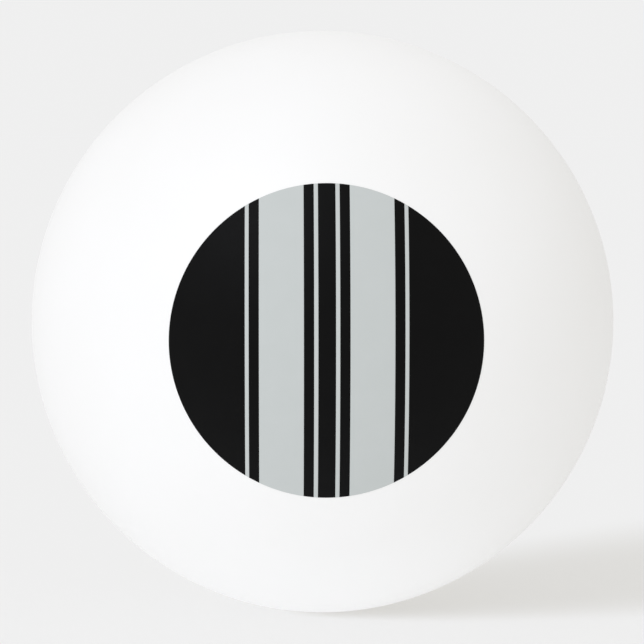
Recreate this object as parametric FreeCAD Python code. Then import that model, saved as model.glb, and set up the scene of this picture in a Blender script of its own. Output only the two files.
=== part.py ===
"""A printed table tennis ball: two moulded half shells, cemented over an inner lip, and a round print of stripes.

Millimetres. The origin is the ball's centre, +Z is up, and the print faces -Y.
The halves part on the plane Y = 0. The printed front half is on the -Y side and is the socket of a lap joint.
The rear half carries the lip, a spigot that reaches inside the front half and stiffens the seam.
Cement fills the lap, the butt between the rims, and a bead at the lip's free edge.
The ink is a film of even thickness on the front half's pole, with stripes that run up and down.
"""

import FreeCAD, Part
import math
import os

# Driving dimensions.
BALL_DIAMETER = 40.0
WALL = 0.50
CEMENT_FILM = 0.05
LIP_THICKNESS = 0.30
LIP_REACH = 1.20  # how far the lip enters the front half
LIP_ROOT = 0.80  # how far the lip's full thickness runs back into the rear half
SHOULDER_LENGTH = 0.60  # the taper from the lip's root to the plain wall
BEAD_LEG = 0.22  # the cement squeezed out at the lip's free edge, along the wall and along the lip's end
GROOVE_DEPTH = 0.03  # the witness line left round the outside after the seam is polished
GROOVE_WIDTH = 0.12
PRINT_DIAMETER = 20.0
INK_FILM = 0.03

# The stripes from the print's middle outwards, the same on both sides: (place, colour, width).
CENTRE_BAR_WIDTH = 1.105
STRIPES = [
    ("inner_pinstripe", "grey", 0.265),
    ("inner_bar", "black", 0.640),
    ("band", "grey", 2.822),
    ("outer_bar", "black", 0.640),
    ("outer_pinstripe", "grey", 0.245),
]

# Worked out from them.
OUTER_RADIUS = BALL_DIAMETER / 2
INNER_RADIUS = OUTER_RADIUS - WALL
LIP_OUTER_RADIUS = INNER_RADIUS - CEMENT_FILM
LIP_INNER_RADIUS = LIP_OUTER_RADIUS - LIP_THICKNESS
RIM_Y = CEMENT_FILM / 2  # each rim stops this far short of the parting plane
GROOVE_FLOOR_X = OUTER_RADIUS - GROOVE_DEPTH
PRINT_RADIUS = PRINT_DIAMETER / 2

CENTRE = FreeCAD.Vector(0, 0, 0)
BALL_AXIS = FreeCAD.Vector(0, 1, 0)


def on_sphere(radius, y):
    """The point of the half-plane X > 0, Z = 0 on a sphere about the centre, at that Y."""
    return FreeCAD.Vector(math.sqrt(max(radius**2 - y**2, 0.0)), y, 0)


def arc(radius, y_from, y_to):
    """The meridian of a sphere about the centre, from one Y to another."""
    middle_angle = (math.asin(y_from / radius) + math.asin(y_to / radius)) / 2
    middle = on_sphere(radius, radius * math.sin(middle_angle))
    return Part.Arc(on_sphere(radius, y_from), middle, on_sphere(radius, y_to)).toShape()


def line(start, end):
    return Part.LineSegment(start, end).toShape()


def turned(edges):
    """The solid that a closed outline sweeps about the ball's axis."""
    return Part.Face(Part.Wire(edges)).revolve(CENTRE, BALL_AXIS, 360)


def front_half_shell():
    """The printed half: an even wall whose plain rim is the socket of the lap joint."""
    groove_edge = on_sphere(OUTER_RADIUS, -GROOVE_WIDTH / 2)
    rim_outer = FreeCAD.Vector(GROOVE_FLOOR_X, -RIM_Y, 0)
    rim_inner = on_sphere(INNER_RADIUS, -RIM_Y)
    return turned([
        arc(OUTER_RADIUS, -OUTER_RADIUS, groove_edge.y),
        line(groove_edge, rim_outer),
        line(rim_outer, rim_inner),
        arc(INNER_RADIUS, rim_inner.y, -INNER_RADIUS),
        line(on_sphere(INNER_RADIUS, -INNER_RADIUS), on_sphere(OUTER_RADIUS, -OUTER_RADIUS)),
    ])


def rear_half_shell():
    """The plain half: the same wall, thickened at its rim into the lip that enters the front half."""
    groove_edge = on_sphere(OUTER_RADIUS, GROOVE_WIDTH / 2)
    rim_outer = FreeCAD.Vector(GROOVE_FLOOR_X, RIM_Y, 0)
    rim_inner = on_sphere(LIP_OUTER_RADIUS, RIM_Y)
    lip_end_outer = on_sphere(LIP_OUTER_RADIUS, -LIP_REACH)
    lip_end_inner = on_sphere(LIP_INNER_RADIUS, -LIP_REACH)
    shoulder_start = on_sphere(LIP_INNER_RADIUS, LIP_ROOT)
    shoulder_end = on_sphere(INNER_RADIUS, LIP_ROOT + SHOULDER_LENGTH)
    return turned([
        arc(OUTER_RADIUS, OUTER_RADIUS, groove_edge.y),
        line(groove_edge, rim_outer),
        line(rim_outer, rim_inner),
        arc(LIP_OUTER_RADIUS, rim_inner.y, lip_end_outer.y),
        line(lip_end_outer, lip_end_inner),
        arc(LIP_INNER_RADIUS, lip_end_inner.y, shoulder_start.y),
        line(shoulder_start, shoulder_end),
        arc(INNER_RADIUS, shoulder_end.y, INNER_RADIUS),
        line(on_sphere(INNER_RADIUS, INNER_RADIUS), on_sphere(OUTER_RADIUS, OUTER_RADIUS)),
    ])


def seam_cement():
    """The set cement: a butt film between the rims, a film in the lap, and a hollow-faced bead past the lip's edge."""
    butt_front = FreeCAD.Vector(GROOVE_FLOOR_X, -RIM_Y, 0)
    butt_rear = FreeCAD.Vector(GROOVE_FLOOR_X, RIM_Y, 0)
    lap_front = on_sphere(INNER_RADIUS, -RIM_Y)
    lap_rear = on_sphere(LIP_OUTER_RADIUS, RIM_Y)
    lip_corner = on_sphere(LIP_OUTER_RADIUS, -LIP_REACH)
    bead_on_wall = on_sphere(INNER_RADIUS, -LIP_REACH - BEAD_LEG)
    bead_on_lip = lip_corner - FreeCAD.Vector(BEAD_LEG, 0, 0)
    # The bead's free face is a quarter round about the corner opposite the joint's own corner.
    hollow_centre = FreeCAD.Vector(bead_on_lip.x, bead_on_wall.y, 0)
    hollow_depth = BEAD_LEG * math.sqrt(0.5)
    hollow_middle = hollow_centre + FreeCAD.Vector(hollow_depth, hollow_depth, 0)
    return turned([
        line(butt_rear, butt_front),
        line(butt_front, lap_front),
        arc(INNER_RADIUS, lap_front.y, bead_on_wall.y),
        Part.Arc(bead_on_wall, hollow_middle, bead_on_lip).toShape(),
        line(bead_on_lip, lip_corner),
        arc(LIP_OUTER_RADIUS, lip_corner.y, lap_rear.y),
        line(lap_rear, butt_rear),
    ])


def ink(x_from, x_to):
    """The ink between two X planes: a film on the ball, inside the print's round outline, with upright edges."""
    reach = OUTER_RADIUS + INK_FILM
    column = Part.makeCylinder(PRINT_RADIUS, reach, CENTRE, BALL_AXIS.negative())
    slab_corner = FreeCAD.Vector(x_from, -reach, -PRINT_RADIUS)
    slab = Part.makeBox(x_to - x_from, reach, PRINT_DIAMETER, slab_corner)
    film = column.common(slab).common(Part.makeSphere(reach)).cut(Part.makeSphere(OUTER_RADIUS))
    return film.Solids[0]


def print_nodes():
    """Every ink deposit by name: the centre bar, then each stripe and the outermost field, on both sides."""
    edge = CENTRE_BAR_WIDTH / 2
    nodes = {"ink_black_centre_bar": ink(-edge, edge)}
    for place, colour, width in STRIPES:
        nodes[f"ink_{colour}_left_{place}"] = ink(-edge - width, -edge)
        nodes[f"ink_{colour}_right_{place}"] = ink(edge, edge + width)
        edge += width
    nodes["ink_black_left_field"] = ink(-PRINT_RADIUS, -edge)
    nodes["ink_black_right_field"] = ink(edge, PRINT_RADIUS)
    return nodes


def main():
    nodes = {
        "front_half_shell": front_half_shell(),
        "rear_half_shell": rear_half_shell(),
        "seam_cement": seam_cement(),
        **print_nodes(),
    }
    os.makedirs("parts", exist_ok=True)
    for name, shape in nodes.items():
        shape.exportStep(f"parts/{name}.step")
        print(f"{name}: {shape.Volume:.3f} mm3, valid {shape.isValid()}, solids {len(shape.Solids)}")


main()
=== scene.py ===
import math

import bmesh
import bpy
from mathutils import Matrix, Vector


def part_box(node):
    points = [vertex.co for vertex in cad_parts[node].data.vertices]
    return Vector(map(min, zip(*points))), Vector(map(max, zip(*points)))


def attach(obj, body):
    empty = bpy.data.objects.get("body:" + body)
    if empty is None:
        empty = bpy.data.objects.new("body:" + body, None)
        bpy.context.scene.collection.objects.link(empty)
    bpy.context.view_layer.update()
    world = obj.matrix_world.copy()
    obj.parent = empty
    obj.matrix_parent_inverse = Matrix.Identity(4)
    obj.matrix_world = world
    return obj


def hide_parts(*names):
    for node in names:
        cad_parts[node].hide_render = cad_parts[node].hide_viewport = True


# A printed table tennis ball. Metres. The ball's centre is the origin, +Z is up, and the print faces -Y.

MM = 0.001

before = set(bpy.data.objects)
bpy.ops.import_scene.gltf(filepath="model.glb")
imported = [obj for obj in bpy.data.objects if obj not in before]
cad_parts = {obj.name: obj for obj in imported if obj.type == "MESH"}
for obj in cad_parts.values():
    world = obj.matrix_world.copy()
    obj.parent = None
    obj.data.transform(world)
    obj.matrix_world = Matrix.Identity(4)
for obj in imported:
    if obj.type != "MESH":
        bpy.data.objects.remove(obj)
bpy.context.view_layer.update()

# The ball, from the frame, and its wall and seam, which the frame's boxes don't give.
BALL_RADIUS = (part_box("front_half_shell")[1].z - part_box("front_half_shell")[0].z) / 2
WALL = 0.50 * MM
CEMENT_FILM = 0.05 * MM
LIP_THICKNESS = 0.30 * MM
LIP_REACH = 1.20 * MM
LIP_ROOT = 0.80 * MM
SHOULDER_LENGTH = 0.60 * MM
BEAD_LEG = 0.22 * MM
GROOVE_DEPTH = 0.03 * MM
GROOVE_WIDTH = 0.12 * MM
INNER_RADIUS = BALL_RADIUS - WALL
LIP_OUTER_RADIUS = INNER_RADIUS - CEMENT_FILM
LIP_INNER_RADIUS = LIP_OUTER_RADIUS - LIP_THICKNESS
RIM_Y = CEMENT_FILM / 2

# The print.
PRINT_RADIUS = 10.0 * MM
INK_FILM = 0.03 * MM
INK_SHOULDER = 0.012 * MM  # the radius that rounds a deposit's top edge
INK_FOOT = 0.006 * MM  # how far a deposit keys into the shell's grain

# How fine the meshes are.
TURNS = 320  # steps round the ball's axis
OUTSIDE_STEPS = 100  # from a pole to the seam
INSIDE_STEPS = 60  # the same, on the inside
GROOVE_STEPS = 6  # down one flank of the witness line
INK_ROWS = 110  # steps along the stripes
INK_COLUMN = 0.16 * MM  # about the step across the stripes
INK_LEAST_COLUMNS = 4
SHOULDER_STEPS = 4  # round a deposit's top edge
ON_AXIS = 1e-9  # a point this near the axis is a pole
SAME_POINT = 1e-8  # points this near each other are one

# The view and the light.
CAMERA_DISTANCE = 209.8 * MM
CAMERA_AZIMUTH = math.radians(-0.86)
CAMERA_ELEVATION = math.radians(4.1)
CAMERA_LENS = 169.8
CAMERA_AIM = Vector((-0.033, 0.0, -0.038)) * MM
SURROUND = (0.867, 0.867, 0.867)
# The main light comes from the upper left.
KEY_AZIMUTH = math.radians(-33.0)
KEY_ELEVATION = math.radians(41.0)
KEY_STRENGTH = 0.92
KEY_COLOUR = (0.826, 0.874, 1.0)
KEY_ANGLE = math.radians(38.0)
# A soft light from below keeps the ball's underside as bright as its top.
UNDER_AZIMUTH = math.radians(-50.0)
UNDER_ELEVATION = math.radians(-70.0)
UNDER_STRENGTH = 0.78
UNDER_COLOUR = (0.80, 0.86, 1.0)
UNDER_ANGLE = math.radians(120.0)
# The table glows, so it darkens little under the ball, and its own low light casts the ball's shadow.
TABLE_ALBEDO = 0.35
TABLE_AZIMUTH = math.radians(-58.0)
TABLE_ELEVATION = math.radians(9.0)
TABLE_STRENGTH = 8.9
TABLE_ANGLE = math.radians(18.0)
FLOOR_RADIUS = 3.0

# What each light reaches.
ball_pieces = bpy.data.collections.new("ball_pieces")
table_top = bpy.data.collections.new("table_top")


# ---- shapes


def sphere_point(radius, y):
    """The outline's (distance from the axis, y) on a sphere, at that y."""
    return math.sqrt(max(radius**2 - y**2, 0.0)), y


def meridian(radius, y_from, y_to, steps):
    """Points of the outline along a sphere, evenly spaced by angle."""
    first, last = math.asin(y_from / radius), math.asin(y_to / radius)
    angles = [first + (last - first) * i / steps for i in range(steps + 1)]
    return [sphere_point(radius, radius * math.sin(a)) for a in angles]


def witness_line(side):
    """The groove's flank from the sphere down to the rim, rounded at its shoulder. The front side is -1."""
    half = GROOVE_WIDTH / 2
    points = []
    for i in range(1, GROOVE_STEPS + 1):
        y = half + (RIM_Y - half) * i / GROOVE_STEPS
        depth = GROOVE_DEPTH * (0.5 - 0.5 * math.cos(math.pi * i / GROOVE_STEPS))
        radius, _ = sphere_point(BALL_RADIUS, y)
        points.append((radius - depth, side * y))
    return points


def new_piece(name, bm, node):
    """A mesh object that stands for one CAD node and rides where that node rides."""
    bmesh.ops.recalc_face_normals(bm, faces=bm.faces)
    mesh = bpy.data.meshes.new(name)
    bm.to_mesh(mesh)
    bm.free()
    piece = bpy.data.objects.new(name, mesh)
    bpy.context.scene.collection.objects.link(piece)
    mesh.shade_smooth()
    ball_pieces.objects.link(piece)
    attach(piece, "root")
    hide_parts(node)
    return piece


def turned(outline, closed):
    """A bmesh turned about the Y axis from (distance, y) points. Points on the axis become poles."""
    bm = bmesh.new()
    rings = []
    for distance, y in outline:
        if distance < ON_AXIS:
            rings.append([bm.verts.new((0, y, 0))])
            continue
        angles = [2 * math.pi * i / TURNS for i in range(TURNS)]
        rings.append([bm.verts.new((distance * math.cos(a), y, distance * math.sin(a))) for a in angles])
    following = rings[1:] + rings[:1] if closed else rings[1:]
    for ring, after in zip(rings, following):
        for i in range(TURNS):
            j = (i + 1) % TURNS
            # A pole is one vertex, so the faces round it are triangles.
            corners = [ring[i % len(ring)], ring[j % len(ring)]]
            corners += [after[j % len(after)], after[i % len(after)]]
            corners = list(dict.fromkeys(corners))
            if len(corners) > 2:
                bm.faces.new(corners)
    return bm


def front_half():
    """The printed half: an even wall with a plain rim."""
    outline = [(0.0, -BALL_RADIUS)]
    outline += meridian(BALL_RADIUS, -BALL_RADIUS, -GROOVE_WIDTH / 2, OUTSIDE_STEPS)[1:]
    outline += witness_line(-1)
    outline += meridian(INNER_RADIUS, -RIM_Y, -INNER_RADIUS, INSIDE_STEPS)[:-1]
    outline += [(0.0, -INNER_RADIUS)]
    return new_piece("front_half", turned(outline, closed=False), "front_half_shell")


def rear_half():
    """The plain half: the same wall, and the lip that enters the front half."""
    outline = [(0.0, BALL_RADIUS)]
    outline += meridian(BALL_RADIUS, BALL_RADIUS, GROOVE_WIDTH / 2, OUTSIDE_STEPS)[1:]
    outline += witness_line(1)
    outline += meridian(LIP_OUTER_RADIUS, RIM_Y, -LIP_REACH, steps=4)
    outline += meridian(LIP_INNER_RADIUS, -LIP_REACH, LIP_ROOT, steps=6)
    outline += meridian(INNER_RADIUS, LIP_ROOT + SHOULDER_LENGTH, INNER_RADIUS, INSIDE_STEPS)[:-1]
    outline += [(0.0, INNER_RADIUS)]
    return new_piece("rear_half", turned(outline, closed=False), "rear_half_shell")


def cement_ring():
    """The seam's cement: the butt film that shows as a hairline, the lap film and the bead inside."""
    groove_floor = BALL_RADIUS - GROOVE_DEPTH
    wall_point = sphere_point(INNER_RADIUS, -LIP_REACH - BEAD_LEG)
    lip_corner = sphere_point(LIP_OUTER_RADIUS, -LIP_REACH)
    lip_point = (lip_corner[0] - BEAD_LEG, lip_corner[1])
    hollow_steps = 6
    hollow = []
    for i in range(1, hollow_steps):
        a = math.pi / 2 * i / hollow_steps
        hollow.append((lip_point[0] + BEAD_LEG * math.cos(a), wall_point[1] + BEAD_LEG * math.sin(a)))
    outline = [(groove_floor, RIM_Y), (groove_floor, -RIM_Y)]
    outline += meridian(INNER_RADIUS, -RIM_Y, wall_point[1], steps=6)
    outline += hollow
    outline += [lip_point]
    outline += meridian(LIP_OUTER_RADIUS, lip_corner[1], RIM_Y, steps=5)
    return new_piece("seam_cement_ring", turned(outline, closed=True), "seam_cement")


def deposit_grid(low_x, high_x, inset, radius, columns):
    """A grid of points over one deposit, drawn in by inset from its edges, on a sphere of that radius."""
    reach = PRINT_RADIUS - inset
    left = max(low_x + inset, -reach)
    right = min(high_x - inset, reach)
    first, last = math.acos(left / reach), math.acos(right / reach)
    grid = []
    for i in range(columns + 1):
        angle = first + (last - first) * i / columns
        x, half_height = reach * math.cos(angle), reach * math.sin(angle)
        column = []
        for j in range(INK_ROWS + 1):
            z = half_height * (2 * j / INK_ROWS - 1)
            column.append(Vector((x, -math.sqrt(max(radius**2 - x**2 - z**2, 0.0)), z)))
        grid.append(column)
    return grid


def deposit(name, node):
    """One area of ink: a film with upright sides and a rounded top edge, following the ball."""
    low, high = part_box(node)
    # The outermost fields reach the print's outline, which their boxes stop a hair short of.
    low_x = -PRINT_RADIUS if low.x < -PRINT_RADIUS + INK_FILM else low.x
    high_x = PRINT_RADIUS if high.x > PRINT_RADIUS - INK_FILM else high.x
    columns = max(INK_LEAST_COLUMNS, round((high_x - low_x) / INK_COLUMN))
    top = BALL_RADIUS + INK_FILM
    # The film from its foot up, as (inset, radius).
    layers = [(0.0, BALL_RADIUS - INK_FOOT), (0.0, top - INK_SHOULDER)]
    for i in range(1, SHOULDER_STEPS + 1):
        a = math.pi / 2 * i / SHOULDER_STEPS
        layers.append((INK_SHOULDER * (1 - math.cos(a)), top - INK_SHOULDER * (1 - math.sin(a))))
    bm = bmesh.new()
    loops = []
    for inset, radius in layers:
        grid = deposit_grid(low_x, high_x, inset, radius, columns)
        border = grid[0][:-1]
        border += [column[-1] for column in grid[:-1]]
        border += grid[-1][:0:-1]
        border += [column[0] for column in grid[:0:-1]]
        loops.append([bm.verts.new(p) for p in border])
    for loop, after in zip(loops, loops[1:]):
        for i in range(len(loop)):
            j = (i + 1) % len(loop)
            bm.faces.new([loop[i], loop[j], after[j], after[i]])
    for inset, radius in (layers[0], layers[-1]):
        grid = deposit_grid(low_x, high_x, inset, radius, columns)
        points = [[bm.verts.new(p) for p in column] for column in grid]
        for column, after in zip(points, points[1:]):
            for j in range(INK_ROWS):
                bm.faces.new([column[j], column[j + 1], after[j + 1], after[j]])
    bmesh.ops.remove_doubles(bm, verts=bm.verts, dist=SAME_POINT)
    return new_piece(name, bm, node)


# ---- materials

# Where most of a noise texture's values lie.
NOISE_LOW = 0.3
NOISE_HIGH = 0.7


def material(name):
    """A node material and its Principled shader."""
    made = bpy.data.materials.new(name)
    made.use_nodes = True
    return made, made.node_tree, made.node_tree.nodes["Principled BSDF"]


def object_noise(tree, scale, detail):
    """Noise over the piece, scale blotches to the metre, so its grain has a real size."""
    place = tree.nodes.new("ShaderNodeTexCoord")
    texture = tree.nodes.new("ShaderNodeTexNoise")
    texture.inputs["Scale"].default_value = scale
    texture.inputs["Detail"].default_value = detail
    tree.links.new(place.outputs["Object"], texture.inputs["Vector"])
    return texture.outputs["Fac"]


def spread(tree, source, low, high):
    """The noise's usual range spread from low to high."""
    span = tree.nodes.new("ShaderNodeMapRange")
    span.inputs["From Min"].default_value = NOISE_LOW
    span.inputs["From Max"].default_value = NOISE_HIGH
    span.inputs["To Min"].default_value = low
    span.inputs["To Max"].default_value = high
    tree.links.new(source, span.inputs["Value"])
    return span.outputs["Result"]


def mottled(tree, source, colour, other):
    """A colour that wanders between two near neighbours."""
    mix = tree.nodes.new("ShaderNodeMix")
    mix.data_type = "RGBA"
    mix.inputs["A"].default_value = (*colour, 1)
    mix.inputs["B"].default_value = (*other, 1)
    tree.links.new(spread(tree, source, 0.0, 1.0), mix.inputs["Factor"])
    return mix.outputs["Result"]


def grain(tree, source, strength, depth):
    """A bump from the noise."""
    bump = tree.nodes.new("ShaderNodeBump")
    bump.inputs["Strength"].default_value = strength
    bump.inputs["Distance"].default_value = depth
    tree.links.new(source, bump.inputs["Height"])
    return bump.outputs["Normal"]


def wire(tree, shader, colour, roughness, normal):
    """Link the three sockets that every finish drives."""
    tree.links.new(colour, shader.inputs["Base Color"])
    tree.links.new(roughness, shader.inputs["Roughness"])
    tree.links.new(normal, shader.inputs["Normal"])


def shell_plastic():
    """Bare moulded white plastic, matte, with a fine grain."""
    made, tree, shader = material("matte_white_abs")
    clouds = object_noise(tree, scale=160, detail=3)
    fine = object_noise(tree, scale=9000, detail=2)
    colour = mottled(tree, clouds, (0.872, 0.862, 0.838), (0.864, 0.853, 0.827))
    roughness = spread(tree, fine, low=0.46, high=0.58)
    wire(tree, shader, colour, roughness, grain(tree, fine, strength=0.25, depth=0.006 * MM))
    shader.inputs["IOR"].default_value = 1.54
    return made


def set_cement():
    """Set solvent cement, warmer and more satin than the shell."""
    made, tree, shader = material("set_solvent_cement")
    clouds = object_noise(tree, scale=900, detail=3)
    colour = mottled(tree, clouds, (0.80, 0.78, 0.72), (0.70, 0.68, 0.61))
    roughness = spread(tree, clouds, low=0.35, high=0.5)
    wire(tree, shader, colour, roughness, grain(tree, clouds, strength=0.3, depth=0.01 * MM))
    return made


def ink(name, shade, other):
    """Matte printing ink between two near shades."""
    made, tree, shader = material(name)
    clouds = object_noise(tree, scale=700, detail=3)
    fine = object_noise(tree, scale=11000, detail=2)
    colour = mottled(tree, clouds, shade, other)
    roughness = spread(tree, fine, low=0.44, high=0.56)
    wire(tree, shader, colour, roughness, grain(tree, fine, strength=0.2, depth=0.004 * MM))
    shader.inputs["Specular IOR Level"].default_value = 0.075
    return made


# ---- stage


def floor():
    """The table: a wide pale disc under the ball, as bright in the open as the surround."""
    bm = bmesh.new()
    bmesh.ops.create_circle(bm, cap_ends=True, segments=96, radius=FLOOR_RADIUS)
    mesh = bpy.data.meshes.new("floor")
    bm.to_mesh(mesh)
    bm.free()
    made = bpy.data.objects.new("floor", mesh)
    made.location.z = -BALL_RADIUS
    bpy.context.scene.collection.objects.link(made)
    paint, _, shader = material("floor")
    # What it must give off itself, beyond what it reflects of the surround and of its own light.
    lit = TABLE_STRENGTH / math.pi * math.sin(TABLE_ELEVATION)
    glow = [s - TABLE_ALBEDO * (s + lit * c) for s, c in zip(SURROUND, KEY_COLOUR)]
    shader.inputs["Base Color"].default_value = (TABLE_ALBEDO, TABLE_ALBEDO, TABLE_ALBEDO, 1)
    shader.inputs["Emission Color"].default_value = (*glow, 1)
    shader.inputs["Emission Strength"].default_value = 1.0
    shader.inputs["Roughness"].default_value = 1.0
    shader.inputs["Specular IOR Level"].default_value = 0.0
    mesh.materials.append(paint)
    made.visible_shadow = False  # it lets the light from below through to the ball
    table_top.objects.link(made)


def direction(azimuth, elevation):
    """From the ball towards something seen at that azimuth, where 0 is -Y and 90 is +X, and elevation."""
    flat = math.cos(elevation)
    return Vector((math.sin(azimuth) * flat, -math.cos(azimuth) * flat, math.sin(elevation)))


def sun(name, lit, azimuth, elevation, strength, colour, angle):
    """A soft distant light that reaches only the objects of one collection."""
    made = bpy.data.objects.new(name, bpy.data.lights.new(name, "SUN"))
    made.data.energy = strength
    made.data.color = colour
    made.data.angle = angle
    # Sampled from its own side only: the floor would stop the surfaces' rays to a light below it.
    made.data.cycles.use_multiple_importance_sampling = False
    made.rotation_mode = "QUATERNION"
    made.rotation_quaternion = direction(azimuth, elevation).to_track_quat("Z", "Y")
    made.light_linking.receiver_collection = lit
    bpy.context.scene.collection.objects.link(made)


def light():
    """An even pale surround and three soft lights."""
    world = bpy.data.worlds.new("studio")
    world.use_nodes = True
    world.node_tree.nodes["Background"].inputs["Color"].default_value = (*SURROUND, 1)
    world.cycles.sampling_method = "NONE"  # an even surround has no bright spot to look for
    bpy.context.scene.world = world
    sun("key", ball_pieces, KEY_AZIMUTH, KEY_ELEVATION, KEY_STRENGTH, KEY_COLOUR, KEY_ANGLE)
    sun("under", ball_pieces, UNDER_AZIMUTH, UNDER_ELEVATION, UNDER_STRENGTH, UNDER_COLOUR, UNDER_ANGLE)
    sun("table", table_top, TABLE_AZIMUTH, TABLE_ELEVATION, TABLE_STRENGTH, KEY_COLOUR, TABLE_ANGLE)


def camera():
    """A long lens, a little above the ball's middle, looking at the print."""
    made = bpy.data.objects.new("camera", bpy.data.cameras.new("camera"))
    made.data.lens = CAMERA_LENS
    towards = direction(CAMERA_AZIMUTH, CAMERA_ELEVATION)
    made.location = towards * CAMERA_DISTANCE
    made.rotation_mode = "QUATERNION"
    made.rotation_quaternion = (made.location - CAMERA_AIM).to_track_quat("Z", "Y")
    bpy.context.scene.collection.objects.link(made)
    bpy.context.scene.camera = made


# ---- the ball

camera()
light()
floor()
bpy.context.scene.view_settings.view_transform = "Standard"

shell = shell_plastic()
for half in (front_half(), rear_half()):
    half.data.materials.append(shell)

ring = cement_ring()
ring.data.materials.append(set_cement())

inks = {
    "black": ink("print_ink_black", (0.0024, 0.0023, 0.0022), (0.0019, 0.0018, 0.0017)),
    "grey": ink("print_ink_grey", (0.528, 0.550, 0.532), (0.520, 0.543, 0.524)),
}
for node in sorted(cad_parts):
    if node.startswith("ink_"):
        colour = node.split("_")[1]
        area = deposit(node.replace("ink_", "print_"), node)
        area.data.materials.append(inks[colour])
